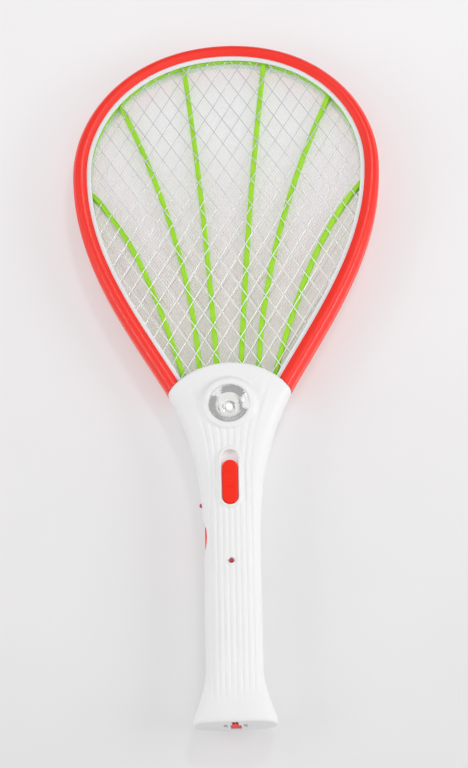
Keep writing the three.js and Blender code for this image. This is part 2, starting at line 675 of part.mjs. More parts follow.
function thumbSlide() {
  const { z0, z1, halfWidth, underside, ridgePitch, ridges } = THUMB_PAD;
  const padFace = OUTER_FACE - 0.5;
  const pad = box([-halfWidth, underside, z0], [halfWidth, padFace, z1]);
  const bars = Array.from({ length: ridges }, (_, i) => {
    const z = z0 + 2 + i * ridgePitch;
    return box([-halfWidth + 0.6, padFace - 0.2, z], [halfWidth - 0.6, OUTER_FACE, z + 1.5]);
  });
  return union([pad, ...bars]);
}

piece("plug_carrier", plugCarrier(), red);
piece("thumb_slide", thumbSlide(), red);
for (const [side, name] of [[-1, "left"], [1, "right"]]) {
  piece(`plug_blade_${name}`, plugBlade(side), steel);
  piece(`plug_contact_${name}`, plugContact(side), steel);
}

// ---------------------------------------------------------------- wiring
const LEAD_RADIUS = 0.7;
const leads = [
  ["front_grid_lead", red, [[-14, -2, 191], [-19, -6, 205], [-15, -6.4, 219.5], [-10, -5, 225.2]]],
  ["middle_grid_lead", black, [[11, -1.2, 193], [18, 0, 207], [15, 0.4, 220], [8, 0, 225.6]]],
  ["rear_grid_lead", red, [[-10, 5, 186], [-19, 7, 203], [-15, 6.6, 219], [-9, 5, 225.4]]],
  ["lamp_lead", black, [[2, 0.2, 196], [3.2, 1.4, 203], [2, 1.2, 209]]],
  ["battery_lead", red, [[-6, -5, 91.6], [-7.5, -4, 96], [-6, -2, 100], [-6, -0.4, 106]]],
  ["charging_lead", black, [[-7.4, 9.6, 41], [-4, 9.5, 60], [-4, 9.3, 92], [-5, 6, 108], [-5, 4.2, 118]]],
];
for (const [name, material, points] of leads) piece(name, wire(points, LEAD_RADIUS), material);

export default group;
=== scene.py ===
import math

import bmesh
import bpy
import numpy as np
from mathutils import Matrix, Vector


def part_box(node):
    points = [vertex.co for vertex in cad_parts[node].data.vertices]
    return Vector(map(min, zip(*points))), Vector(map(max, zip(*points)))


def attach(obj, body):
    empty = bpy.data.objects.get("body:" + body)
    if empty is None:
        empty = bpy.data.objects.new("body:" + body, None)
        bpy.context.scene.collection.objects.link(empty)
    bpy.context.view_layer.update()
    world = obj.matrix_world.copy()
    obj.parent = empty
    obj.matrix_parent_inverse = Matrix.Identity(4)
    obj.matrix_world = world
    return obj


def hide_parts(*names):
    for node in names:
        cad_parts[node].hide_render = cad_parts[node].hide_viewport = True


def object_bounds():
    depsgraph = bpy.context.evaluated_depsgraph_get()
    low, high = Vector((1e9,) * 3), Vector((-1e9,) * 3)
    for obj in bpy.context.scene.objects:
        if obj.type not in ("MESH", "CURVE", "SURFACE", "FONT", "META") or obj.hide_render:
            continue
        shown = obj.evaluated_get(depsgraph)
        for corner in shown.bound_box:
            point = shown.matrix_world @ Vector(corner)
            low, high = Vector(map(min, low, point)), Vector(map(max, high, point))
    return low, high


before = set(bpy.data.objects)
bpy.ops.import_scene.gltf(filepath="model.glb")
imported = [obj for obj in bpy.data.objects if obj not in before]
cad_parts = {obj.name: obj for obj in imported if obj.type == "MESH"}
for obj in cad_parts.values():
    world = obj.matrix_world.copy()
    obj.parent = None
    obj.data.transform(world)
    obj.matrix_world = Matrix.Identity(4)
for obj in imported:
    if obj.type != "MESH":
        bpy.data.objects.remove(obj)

cad_low, cad_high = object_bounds()
MM = 0.001


def box_mm(node):
    """Lowest and highest corner of a CAD node, in millimetres."""
    low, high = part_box(node)
    return np.array(low) / MM, np.array(high) / MM


# ------------ driving dimensions, from the frame
bezel_low, bezel_high = box_mm("front_bezel")
TOP = bezel_high[2]
HEAD_HALF_WIDTH = bezel_high[0]
BEZEL_DEPTH = -bezel_low[1]
WIDEST_Z = TOP - 98.5
NECK = (45.0, TOP - 260)
GRIP_HALF_WIDTH = 18.3
GRIP_TOP_Z = 115.0
FLARE_TOP_Z = 34.0
END_EDGE = 3.0
END_ROUNDING = 1.0
END_HALF_WIDTH = 26.5
GRIP_HALF_DEPTH = 13.6
COLLAR_HALF_DEPTH = 11.0
WALL = 1.8
SEAM = 0.15  # each half stops this far from the parting plane
GAP = 0.3
OUTSIDE = 40.0  # well beyond the handle's surface, for the tools that cut it

COLLAR_RADIUS = 53.5
COLLAR_CENTRE_Z = box_mm("front_housing")[1][2] - COLLAR_RADIUS

# The right-hand outline as four cubic curves, from the apex down to the end face.
HEAD_UPPER = [(0, TOP), (69, TOP), (HEAD_HALF_WIDTH, WIDEST_Z + 47), (HEAD_HALF_WIDTH, WIDEST_Z)]
HEAD_LOWER = [HEAD_UPPER[-1], (HEAD_HALF_WIDTH, WIDEST_Z - 63), (NECK[0] + 28.8, NECK[1] + 49.4), NECK]
NECK_CURVE = [NECK, (24.8, 195.3), (GRIP_HALF_WIDTH, 158), (GRIP_HALF_WIDTH, GRIP_TOP_Z)]
FLARE = [(GRIP_HALF_WIDTH, FLARE_TOP_Z), (GRIP_HALF_WIDTH, 26), (24, 10.5), (END_HALF_WIDTH, END_EDGE)]

lamp_low, lamp_high = box_mm("lamp_led")
LAMP_Z = (lamp_low[2] + lamp_high[2]) / 2
LAMP_RADIUS = 13.5
LAMP_RIM_RADIUS = 17.2
LAMP_RIM_FACE = 14.9

cap_low, cap_high = box_mm("slide_cap")
CAP_HALF_WIDTH = cap_high[0]
CAP_FACE = -cap_low[1]
SLOT_PLAY = 0.4
SLOT_HALF_WIDTH = CAP_HALF_WIDTH + SLOT_PLAY
SLOT_Z0 = cap_low[2] - SLOT_PLAY
SLOT_Z1 = SLOT_Z0 + 37.8
SLOT_FLOOR = 11.4
SLOT_RIM = 2.0
SLOT_RIM_FACE = 14.6
SLIDE_TRAVEL = 6.9
STEM_START = 12.0  # where the cap's stem starts above the recess's lower end
STEM_LENGTH = 6.0
STEM_HALF_WIDTH = 2.0

button_low, button_high = box_mm("side_button")
BUTTON_Z = (button_low[2] + button_high[2]) / 2
BUTTON_HALF_LENGTH = 9.7
BUTTON_HALF_HEIGHT = 4.4
BUTTON_BACK_X = button_high[0]
BUTTON_FACE_X = -17.4
BUTTON_FLANGE = 1.0
FRONT_LED_Z = sum(c[2] for c in box_mm("front_indicator_led")) / 2
SIDE_LED_Z = sum(c[2] for c in box_mm("side_indicator_led")) / 2
LED_RADIUS = 1.5

FLUTES = 8
FLUTE_PITCH = 3.7
FLUTE_HALF_WIDTH = 1.45
FLUTE_DEPTH = 0.55


# ------------ meshes
def bezier(points, t):
    """Points of a cubic curve at the values t."""
    a, b, c, d = (np.array(p, float) for p in points)
    t = np.asarray(t, float)[:, None]
    s = 1 - t
    return s**3 * a + 3 * s * s * t * b + 3 * s * t * t * c + t**3 * d


def smooth(x, start, end):
    """0 before start, 1 after end, eased between them."""
    t = np.clip((np.asarray(x, float) - start) / (end - start), 0, 1)
    return t * t * (3 - 2 * t)


def smooth_max(a, b, softness):
    """The larger of two heights, with the step between them filleted."""
    h = np.clip(0.5 + 0.5 * (a - b) / softness, 0, 1)
    return b + (a - b) * h + softness * h * (1 - h)


def loft(sections):
    """Closed sections of equal length joined in order, with both ends capped: (vertices, faces)."""
    sections = np.asarray(sections, float)
    count, ring = sections.shape[:2]
    start = (np.arange(count - 1) * ring)[:, None]
    i = np.arange(ring)[None, :]
    j = (i + 1) % ring
    sides = np.stack([start + i, start + j, start + ring + j, start + ring + i], axis=-1).reshape(-1, 4)
    caps = [list(range(ring))[::-1], list(range((count - 1) * ring, count * ring))]
    return sections.reshape(-1, 3), sides.tolist() + caps


def merged(forms):
    """Several (vertices, faces) forms as one."""
    vertices, faces, start = [], [], 0
    for form_vertices, form_faces in forms:
        vertices.append(form_vertices)
        faces += [[i + start for i in face] for face in form_faces]
        start += len(form_vertices)
    return np.vstack(vertices), faces


def add_object(name, data):
    """A new object in the scene that shows a mesh, light or camera."""
    made = bpy.data.objects.new(name, data)
    bpy.context.scene.collection.objects.link(made)
    return made


def solid(form, name="tool"):
    """A mesh object, in metres, with its faces turned outwards."""
    vertices, faces = form
    mesh = bpy.data.meshes.new(name)
    mesh.from_pydata((np.asarray(vertices) * MM).tolist(), [], faces)
    turn_outwards(mesh)
    return add_object(name, mesh)


def turn_outwards(mesh):
    """Makes a closed mesh's faces point out."""
    work = bmesh.new()
    work.from_mesh(mesh)
    bmesh.ops.recalc_face_normals(work, faces=work.faces)
    work.to_mesh(mesh)
    work.free()


def combine(base, tool, operation):
    """base joined with, cut by or limited to tool, which is used up."""
    modifier = base.modifiers.new("combine", "BOOLEAN")
    modifier.operation = operation
    modifier.solver = "MANIFOLD"
    modifier.object = tool
    depsgraph = bpy.context.evaluated_depsgraph_get()
    result = bpy.data.meshes.new_from_object(base.evaluated_get(depsgraph))
    base.modifiers.clear()
    base.data = result
    bpy.data.objects.remove(tool)
    return base


def cut(base, *forms):
    """base without the space of the forms."""
    return combine(base, solid(merged(forms)), "DIFFERENCE")


def join(base, *forms):
    """base and the forms as one body."""
    return combine(base, solid(merged(forms)), "UNION")


def piece(made, name, material, body, sharp=32):
    """Finishes a solid as the piece that stands for the CAD node of its name and rides on a body."""
    made.name = name
    made.data.name = name
    made.data.materials.clear()
    made.data.materials.append(material)
    made.data.shade_smooth()
    made.data.set_sharp_from_angle(angle=math.radians(sharp))
    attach(made, body)
    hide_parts(name)


def box(low, high):
    """A box given by its lowest and highest corner."""
    (x0, y0, z0), (x1, y1, z1) = low, high
    section = [(x0, y0), (x1, y0), (x1, y1), (x0, y1)]
    return loft([[(x, y, z) for x, y in section] for z in (z0, z1)])


def turned(profile, centre, segments=64, axis="y"):
    """A closed [radius, distance] profile turned about the x or y axis through the centre."""
    angles = np.linspace(0, 2 * math.pi, segments, endpoint=False)
    circle = np.column_stack([np.cos(angles), np.sin(angles)])
    rows = np.array([lifted(circle * radius, along) for radius, along in profile])
    if axis == "x":
        rows = rows[..., [1, 0, 2]]
    closed_on_axis = profile[0][0] == 0 and profile[-1][0] == 0
    if closed_on_axis:
        vertices, faces = capless(rows[1:-1])
        tips = [rows[0][0], rows[-1][0]]
        faces += fan(0, len(vertices), segments)
        faces += fan((len(rows) - 3) * segments, len(vertices) + 1, segments)
        vertices = np.vstack([vertices, tips])
    else:
        vertices, faces = capless(rows, around=True)
    return vertices + np.array(centre, float), faces


def capless(rows, around=False):
    """Quads between rings of vertices, and from the last ring back to the first if around is set."""
    rows = np.asarray(rows, float)
    count, ring = rows.shape[:2]
    faces = []
    for r in range(count if around else count - 1):
        a = r * ring
        b = ((r + 1) % count) * ring
        faces += [[a + i, a + (i + 1) % ring, b + (i + 1) % ring, b + i] for i in range(ring)]
    return rows.reshape(-1, 3), faces


def fan(start, tip, ring):
    """Triangles from a ring of vertices to a tip."""
    return [[start + i, start + (i + 1) % ring, tip] for i in range(ring)]


def cylinder(x, z, radius, y0, y1, segments=48):
    """A cylinder along Y."""
    return turned([(0, y0), (radius, y0), (radius, y1), (0, y1)], (x, 0, z), segments)


def rounded(points, radius, steps=4):
    """A closed polygon with its corners rounded; radius may be one number or one for each corner."""
    points = [np.array(p, float) for p in points]
    radii = radius if isinstance(radius, (list, tuple)) else [radius] * len(points)
    result = []
    for i, point in enumerate(points):
        before = points[i - 1] - point
        after = points[(i + 1) % len(points)] - point
        reach = min(radii[i], 0.45 * np.linalg.norm(before), 0.45 * np.linalg.norm(after))
        if reach <= 0:
            result.append(point)
            continue
        first = point + before / np.linalg.norm(before) * reach
        last = point + after / np.linalg.norm(after) * reach
        for t in np.linspace(0, 1, steps + 1):
            result.append((1 - t) ** 2 * first + 2 * t * (1 - t) * point + t * t * last)
    return np.array(result)


def stadium(half_width, z0, z1, steps=24):
    """A stadium outline in the XZ plane, anticlockwise."""
    angles = np.linspace(0, math.pi, steps + 1)
    across = half_width * np.cos(angles)
    rise = half_width * np.sin(angles)
    top = np.column_stack([across, z1 - half_width + rise])
    foot = np.column_stack([-across, z0 + half_width - rise])
    return np.vstack([top, foot])


def prism(outline, y0, y1):
    """A flat outline in the XZ plane, made solid from y0 to y1."""
    outline = np.asarray(outline, float)
    return loft([lifted(outline, y) for y in (y0, y1)])


def lifted(outline, y):
    """A flat outline in the XZ plane, moved to one y."""
    return np.column_stack([outline[:, 0], np.full(len(outline), y), outline[:, 1]])


# ------------ materials
def srgb(red, green, blue):
    """A colour given as 0-255 screen values, in linear light."""
    def linear(value):
        value /= 255
        return value / 12.92 if value <= 0.04045 else ((value + 0.055) / 1.055) ** 2.4
    return (linear(red), linear(green), linear(blue), 1)


class Shader:
    """A node material under construction, with object coordinates in metres."""

    def __init__(self, name):
        self.material = bpy.data.materials.new(name)
        self.material.use_nodes = True
        self.nodes = self.material.node_tree.nodes
        self.links = self.material.node_tree.links
        self.surface = self.nodes["Principled BSDF"]
        self.place = self.node("TexCoord").outputs["Object"]

    def link(self, source, target):
        """Joins an output to an input."""
        self.links.new(source, target)

    def node(self, kind, **values):
        """A new node of a kind, with its inputs set or linked by name."""
        made = self.nodes.new("ShaderNode" + kind)
        self.feed(made, **values)
        return made

    def feed(self, node, **values):
        """Sets or links a node's inputs by name, with _ for a space."""
        for key, value in values.items():
            socket = node.inputs[key.replace("_", " ")]
            if isinstance(value, (int, float, tuple)):
                socket.default_value = value
            else:
                self.link(value, socket)

    def set(self, **values):
        """Sets or links the surface's inputs by name."""
        self.feed(self.surface, **values)

    def noise(self, scale, detail=3.0, roughness=0.5):
        """Cloudy noise from 0 to 1, finer as the scale grows."""
        node = self.node("TexNoise", Scale=scale, Detail=detail, Roughness=roughness, Vector=self.place)
        return node.outputs["Fac"]

    def between(self, value, low, high, start=0.3, end=0.7):
        """A value spread from [start, end] to [low, high]."""
        limits = {"From_Min": start, "From_Max": end, "To_Min": low, "To_Max": high}
        return self.node("MapRange", Value=value, **limits).outputs["Result"]

    def mix(self, factor, first, second):
        """Two colours mixed by a factor; each is a 0-255 screen colour or a socket."""
        node = self.node("Mix")
        node.data_type = "RGBA"
        for socket, value in ((node.inputs[0], factor), (node.inputs[6], first), (node.inputs[7], second)):
            if isinstance(value, tuple):
                socket.default_value = srgb(*value)
            else:
                self.link(value, socket)
        return node.outputs[2]

    def bump(self, height, strength, distance):
        """A surface relief of a height pattern."""
        return self.node("Bump", Strength=strength, Distance=distance, Height=height).outputs["Normal"]

    def edges(self, start=0.52, end=0.6):
        """1 on convex edges, from the geometry's pointiness."""
        return self.between(self.node("NewGeometry").outputs["Pointiness"], 0.0, 1.0, start, end)

    def recesses(self, distance):
        """1 deep inside openings narrower than a distance in metres, 0 on open faces."""
        node = self.node("AmbientOcclusion", Distance=distance)
        return self.between(node.outputs["AO"], 1.0, 0.0, 0.5, 0.9)

    def height(self):
        """The height above the racket's end face, in metres."""
        return self.node("SeparateXYZ", Vector=self.place).outputs["Z"]


def moulded(
    name, colour, shade, roughness, grain=0.12, worn=None, painted_recess_shade=None, coat=0.0, specular=0.5, painted_light=0.0
):
    """Moulded plastic: slow colour drift, fine grain and uneven gloss.
    worn is the colour of rubbed edges. The recess colour is painted shade that darkens narrow openings,
    and the emission is painted light that lifts the whole piece."""
    made = Shader(name)
    drift = made.between(made.noise(35, 4), 0.0, 1.0)
    base = made.mix(drift, colour, shade)
    if worn:
        base = made.mix(made.edges(), base, worn)
    # painted shade: narrow recesses darken towards the recess colour
    if painted_recess_shade:
        base = made.mix(made.recesses(0.0015), base, painted_recess_shade)
    gloss = made.between(made.noise(120, 2), roughness - 0.03, roughness + 0.06)
    made.set(Base_Color=base, Roughness=gloss, Coat_Weight=coat, Coat_Roughness=0.15)
    # painted light: the emission lifts the plastic beyond what the lamps give it
    made.set(Specular_IOR_Level=specular, Emission_Color=base, Emission_Strength=painted_light)
    made.set(Normal=made.bump(made.noise(900, 4, 0.6), grain, 0.00012))
    return made.material


PAINTED_SHADING_FADE = (0.31, 0.42)  # the heights, in metres, between which the wires take on their painted top shading


def metal(name, colour, stain, roughness, brush=1400, relief=0.012, metallic=1.0, painted_light=0.0, painted_top_shading=None):
    """Metal with a fine relief, a little tarnish and uneven gloss.
    The emission is painted light standing in for glints too fine to draw; the top colour is painted
    shading that the wires fade to high up on the head, standing in for how the light falls there."""
    made = Shader(name)
    tarnish = made.between(made.noise(60, 5, 0.65), 0.0, 1.0, 0.45, 0.75)
    base = made.mix(tarnish, colour, stain)
    # painted shading: the wires change colour with height, standing in for how the light falls on them
    if painted_top_shading:
        base = made.mix(made.between(made.height(), 0.0, 1.0, *PAINTED_SHADING_FADE), base, painted_top_shading)
    gloss = made.between(made.noise(brush, 2), roughness * 0.7, roughness * 1.4)
    made.set(Base_Color=base, Roughness=gloss, Metallic=metallic)
    # painted light: the emission stands in for glints too fine to draw
    made.set(Emission_Color=base, Emission_Strength=painted_light)
    made.set(Normal=made.bump(made.noise(brush, 3), 1.0, relief * MM))
    return made.material


def clear_cover(name, tint):
    """A thin clear moulding: mostly see-through, glossy at grazing angles outside, with faint scuffs."""
    made = Shader(name)
    through = made.node("BsdfTransparent", Color=tint)
    gloss = made.between(made.noise(500, 6), 0.02, 0.12)
    scuffs = made.bump(made.noise(300, 3), 0.1, 0.0001)
    shine = made.node("BsdfGlossy", Roughness=gloss, Normal=scuffs)
    facing = made.node("Fresnel", IOR=1.45)
    side = made.node("NewGeometry").outputs["Backfacing"]
    outside_only = made.between(side, 0.0, 0.0, 0.0, 1.0)
    made.link(facing.outputs[0], outside_only.node.inputs["To Min"])
    both = made.node("MixShader")
    made.link(outside_only, both.inputs[0])
    made.link(through.outputs[0], both.inputs[1])
    made.link(shine.outputs[0], both.inputs[2])
    made.link(both.outputs[0], made.nodes["Material Output"].inputs["Surface"])
    return made.material


shell_white = moulded("shell_white", (250, 250, 250), (247, 247, 247), 0.42, worn=(254, 254, 254))
ring_white = moulded("ring_white", (243, 247, 248), (238, 243, 244), 0.38, worn=(248, 251, 252))
# painted light: the bezel and switch plastics glow faintly
bezel_red = moulded("bezel_red", (255, 36, 6), (252, 31, 5), 0.35, grain=0.04, specular=0.7, painted_light=0.04)
switch_red = moulded("switch_red", (255, 44, 13), (252, 38, 11), 0.42, specular=0.28, painted_light=0.04)
# painted shade darkens the plug's recesses and painted light makes it glow
plug_red = moulded("plug_red", (244, 26, 14), (232, 20, 10), 0.4, painted_recess_shade=(50, 8, 8), specular=0.3, painted_light=0.12)
rib_green = moulded("rib_green", (169, 233, 48), (161, 227, 42), 0.42, worn=(176, 232, 70), specular=0.3)
# painted shading: the front wires darken high up on the head
grid_bright = metal(
    "grid_bright", (251, 251, 252), (244, 244, 246), 0.42, metallic=0.25, painted_top_shading=(212, 214, 218)
)
# painted light: the middle and rear wires glow and lighten high up on the head
grid_fine = metal(
    "grid_fine", (246, 230, 238), (240, 224, 232), 0.55, metallic=0.05, painted_light=0.09, painted_top_shading=(252, 249, 255)
)
grid_rear = metal(
    "grid_rear", (230, 227, 229), (222, 219, 222), 0.42, metallic=0.1, painted_light=0.05, painted_top_shading=(250, 248, 250)
)
chrome = metal(
    "reflector_chrome", (250, 250, 250), (243, 243, 243), 0.06, brush=450, relief=0.07, metallic=0.85
)
plated = metal("plated_steel", (214, 216, 218), (176, 174, 168), 0.24)
lens_clear = clear_cover("clear_plastic", (0.98, 0.98, 0.98, 1))
led_red = moulded("red_lens", (214, 18, 46), (190, 12, 36), 0.12, grain=0.02, coat=0.8)
# painted light: the clear lamp glows though it is off
led_clear = moulded("led_clear", (254, 254, 252), (250, 250, 246), 0.1, grain=0.02, coat=0.8, painted_light=0.35)
black_plastic = moulded("black_plastic", (34, 35, 36), (26, 27, 28), 0.45, worn=(70, 71, 72))
board_green = moulded("board_green", (38, 104, 56), (28, 84, 44), 0.4, worn=(120, 150, 90))
coil_yellow = moulded("coil_yellow", (214, 180, 60), (196, 158, 44), 0.45)
film_brown = moulded("film_brown", (140, 74, 38), (118, 58, 30), 0.3)
lead_red = moulded("lead_red", (200, 30, 26), (176, 22, 20), 0.4)
lead_black = moulded("lead_black", (30, 30, 32), (22, 22, 24), 0.4)


# ------------ head
def rail(inset, foot_radius, count):
    """The head's outline moved inwards, from the left foot over the apex to the right foot, evenly spaced.
    The feet lie on a circle round the collar's centre."""
    t = np.linspace(0, 1, 500)
    path = np.vstack([bezier(HEAD_UPPER, t), bezier(HEAD_LOWER, t)[1:], bezier(NECK_CURVE, t)[1:]])
    along = np.gradient(path, axis=0)
    along /= np.linalg.norm(along, axis=1)[:, None]
    moved = path + inset * np.column_stack([along[:, 1], -along[:, 0]])
    moved[0, 0] = 0
    reach = np.hypot(moved[:, 0], moved[:, 1] - COLLAR_CENTRE_Z)
    end = int(np.argmax(reach < foot_radius))
    share = (reach[end - 1] - foot_radius) / (reach[end - 1] - reach[end])
    foot = moved[end - 1] + share * (moved[end] - moved[end - 1])
    kept = np.vstack([moved[:end], foot])
    lengths = np.concatenate([[0], np.cumsum(np.linalg.norm(np.diff(kept, axis=0), axis=1))])
    even = np.linspace(0, lengths[-1], count)
    side = np.column_stack([np.interp(even, lengths, kept[:, k]) for k in (0, 1)])
    left = side[:0:-1] * [-1, 1]
    return np.vstack([left, side])


def swept(profile, foot_radius, count=150):
    """An [inset, y] profile carried round the head's outline down to a foot circle."""
    rails = [rail(inset, foot_radius, count) for inset, _ in profile]
    sections = [lifted(line, y) for line, (_, y) in zip(rails, profile)]
    return loft(np.stack(sections, axis=1))


def collar_arc(angles, radius):
    """Points round the collar's centre."""
    return np.column_stack([np.cos(angles), np.sin(angles)]) * radius + [0, COLLAR_CENTRE_Z]


def foot_bar(outer_radius, inner_radius, half_angle, y0, y1):
    """The arc that closes a head frame, inside the collar."""
    angles = np.linspace(math.pi / 2 - half_angle, math.pi / 2 + half_angle, 40)
    outer, inner = collar_arc(angles, outer_radius), collar_arc(angles[::-1], inner_radius)
    return prism(np.vstack([outer, inner]), y0, y1)


# Outer wall, shoulder, ridge, front facet and lip of a bezel, as [inset, distance from the parting plane].
BEZEL_PROFILE = [
    (0, SEAM),
    (0, 5.0),
    (2.4, BEZEL_DEPTH - 0.8),
    (4.4, BEZEL_DEPTH),
    (6.6, BEZEL_DEPTH - 0.1),
    (10, BEZEL_DEPTH - 1.5),
    (10, 7.0),
    (3.4, 7.0),
    (2, 4.6),
    (2, SEAM),
]
BEZEL_ROUNDING = [0.1, 1.2, 0.9, 0.9, 1.2, 0.5, 0, 0, 0, 0]


def bezel(front):
    """The red trim ring of one face."""
    profile = rounded(BEZEL_PROFILE, BEZEL_ROUNDING) * [1, -1]
    made = solid(swept(profile, COLLAR_RADIUS + GAP))
    head_piece(made, front, "bezel", bezel_red)


def head_piece(made, front, part, material):
    """Finishes a piece that both faces have, turned round for the rear."""
    if not front:
        flip(made)
    piece(made, ("front_" if front else "rear_") + part, material, "handle")


# The head's layers, as insets from its outline and distances from the parting plane.
RING_OUTER, RING_INNER = 4.0, 12.9
RING_FRONT, RING_BACK = 6.7, 5.3
GRID_Y = 4.7
GRID_RIM = (6.0, 11.8)
RIB_FRONT, RIB_BACK = 4.1, 0.7
RIB_OUTER = 5.0
LEG_FOOT = 46.0  # radius round the collar's centre at which the layers' legs end, inside the collar
BAR = (47.0, 40.0, 0.86)  # outer and inner radius and half angle of the bar between the legs
GRID_BAR = (46.6, 41.0, 0.84)


def band(outer, inner, front, back):
    """The section of a flat ring in the front half, as [inset, y] corners."""
    return [(outer, -back), (outer, -front), (inner, -front), (inner, -back)]


def grid_ring(front):
    """The white ring that clamps the outer grid of one face."""
    form = swept(rounded(band(RING_OUTER, RING_INNER, RING_FRONT, RING_BACK), 0.45), LEG_FOOT)
    made = join(solid(form), foot_bar(*BAR, 0.2 - RING_FRONT, -0.2 - RING_BACK))
    head_piece(made, front, "grid_ring", ring_white)


def flip(made):
    """Turns a front piece into its rear twin."""
    made.data.transform(((1, 0, 0, 0), (0, -1, 0, 0), (0, 0, 1, 0), (0, 0, 0, 1)))
    made.data.flip_normals()


RIB_WIDTH = 3.4
REAR_RIB_WIDTH = 2.0  # the rear frame is slighter, so that the front one hides it
RIB_CURVES = [
    [(29.5, 482), (19, 395), (13, 330), (7.5, 232)],
    [(79.5, 458), (42, 378), (22, 300), (19.5, 232)],
    [(106, 388), (69, 356), (48.5, 300), (28, 226)],
]


def rib(points, side, width):
    """A round-edged band along one rib's centre line."""
    line = bezier(points, np.linspace(0, 1, 60)) * [side, 1]
    along = np.gradient(line, axis=0)
    along /= np.linalg.norm(along, axis=1)[:, None]
    across = np.column_stack([-along[:, 1], along[:, 0]])
    half = width / 2
    corners = [(-half, -RIB_BACK), (half, -RIB_BACK), (half, -RIB_FRONT), (-half, -RIB_FRONT)]
    profile = rounded(corners, [0.2, 0.2, 0.7, 0.7])
    sections = [[(*(p + a * q), y) for q, y in profile] for p, a in zip(line, across)]
    return loft(np.array(sections)[..., [0, 2, 1]])


def rib_frame(front):
    """A green ring that carries the six ribs; it stands back a little behind the white ring."""
    inner, drop, width = (12.4, 0.4, RIB_WIDTH) if front else (9.5, 0, REAR_RIB_WIDTH)
    vertices, faces = swept(rounded(band(RIB_OUTER, inner, RIB_FRONT, RIB_BACK), 0.4), LEG_FOOT)
    made = solid((vertices - [0, 0, drop], faces))
    made = join(made, foot_bar(*BAR, 0.2 - RIB_FRONT, -0.2 - RIB_BACK))
    ribs = [rib(points, side, width) for points in RIB_CURVES for side in (1, -1)]
    made = join(made, *ribs)
    rib_ends = swept([(-8, -6), (3.2, -6), (3.2, 1), (-8, 1)], 40)
    made = cut(made, rib_ends)
    head_piece(made, front, "rib_frame", rib_green)


def window(inset, foot_radius):
    """The opening inside a head frame, as a closed polygon."""
    line = rail(inset, foot_radius, 200)
    ends = [math.atan2(p[1] - COLLAR_CENTRE_Z, p[0]) for p in (line[-1], line[0])]
    angles = np.linspace(ends[0], ends[1], 60)[1:-1]
    return np.vstack([line, collar_arc(angles, foot_radius)])


def crossings(origin, direction, polygon):
    """Distances along a line at which it crosses a polygon, in order."""
    a = polygon - origin
    b = np.roll(polygon, -1, axis=0) - origin
    side_a = a[:, 0] * direction[1] - a[:, 1] * direction[0]
    side_b = b[:, 0] * direction[1] - b[:, 1] * direction[0]
    hit = side_a * side_b < 0
    share = side_a[hit] / (side_a[hit] - side_b[hit])
    points = a[hit] + share[:, None] * (b[hit] - a[hit])
    return np.sort(points @ direction)


def turned_by(vector, degrees):
    """A flat vector turned anticlockwise."""
    c, s = math.cos(math.radians(degrees)), math.sin(math.radians(degrees))
    return np.array([c * vector[0] - s * vector[1], s * vector[0] + c * vector[1]])


def wires(lean, sheet, y, polygon):
    """A sheet's straight wires of one lean, clipped to a polygon: flattened bars with six sides."""
    cell, width, thickness = sheet["cell"], sheet["width"], sheet["thickness"]
    step = turned_by((cell[0], 0), sheet["turn"])
    direction = turned_by((cell[0] * lean, cell[1]), sheet["turn"])
    direction /= np.linalg.norm(direction)
    across = np.array([-direction[1], direction[0]])
    section = [(math.cos(a) * width / 2, math.sin(a) * thickness / 2) for a in np.arange(6) * math.pi / 3]
    reach = int((HEAD_HALF_WIDTH + (TOP - COLLAR_CENTRE_Z) * cell[0] / cell[1]) / cell[0])
    forms = []
    for k in range(-reach, reach + 1):
        origin = sheet["crossing"] + k * step
        marks = crossings(origin, direction, polygon)
        for start, end in zip(marks[::2], marks[1::2]):
            ends = [origin + direction * d for d in (start, end)]
            forms.append(loft([[(*(p + across * u), y + v) for u, v in section] for p in ends]))
    vertices, faces = merged(forms)
    return vertices[:, [0, 2, 1]], faces


def grid(name, y, sheet, material):
    """Two layers of crossing wires, welded where they meet, in a flat rim."""
    opening = window(11.2, LEG_FOOT)
    thickness = sheet["thickness"]
    layers = [wires(lean, sheet, y + lean * thickness / 2, opening) for lean in (1, -1)]
    half = thickness * 0.7
    rim = swept(band(*GRID_RIM, half - y, -half - y), LEG_FOOT, 80)
    bar = foot_bar(*GRID_BAR, y - half * 0.9, y + half * 0.9)
    made = join(solid(rim), bar)
    made.data = joined_mesh(made, solid(merged(layers)))
    piece(made, name, material, "handle")


def joined_mesh(first, second):
    """Both objects' meshes as one, without a boolean; the second object is used up."""
    work = bmesh.new()
    work.from_mesh(first.data)
    work.from_mesh(second.data)
    mesh = bpy.data.meshes.new("joined")
    work.to_mesh(mesh)
    work.free()
    bpy.data.objects.remove(second)
    return mesh


# Each sheet's diamond (width, height), wire, where one crossing lies and how far the sheet is turned.
OUTER_WIRES = {"cell": (12.2, 19.8), "width": 0.72, "thickness": 0.42}
FRONT_SHEET = {**OUTER_WIRES, "crossing": (7.4, 301.8), "turn": 1.35}
REAR_SHEET = {**OUTER_WIRES, "crossing": (3.0, 296.0), "turn": -1.0}
MIDDLE_SHEET = {"cell": (2.2, 3.2), "width": 0.5, "thickness": 0.28, "crossing": (0.4, 300.0), "turn": 0.8}


def head():
    """Both faces' bezels, rings and rib frames, and the three grids."""
    for front in (True, False):
        bezel(front)
        grid_ring(front)
        rib_frame(front)
    grid("front_grid", -GRID_Y, FRONT_SHEET, grid_bright)
    grid("middle_grid", 0.0, MIDDLE_SHEET, grid_fine)
    grid("rear_grid", GRID_Y, REAR_SHEET, grid_rear)


# ------------ handle shells
def half_width(z):
    """Half the handle's width at each height."""
    t = np.linspace(1, 0, 300)
    rows = np.vstack([bezier(FLARE, t), bezier(NECK_CURVE, t), bezier(HEAD_LOWER, t)[1:150]])
    width = np.interp(z, rows[:, 1], rows[:, 0])
    return width - edge_inset(z)


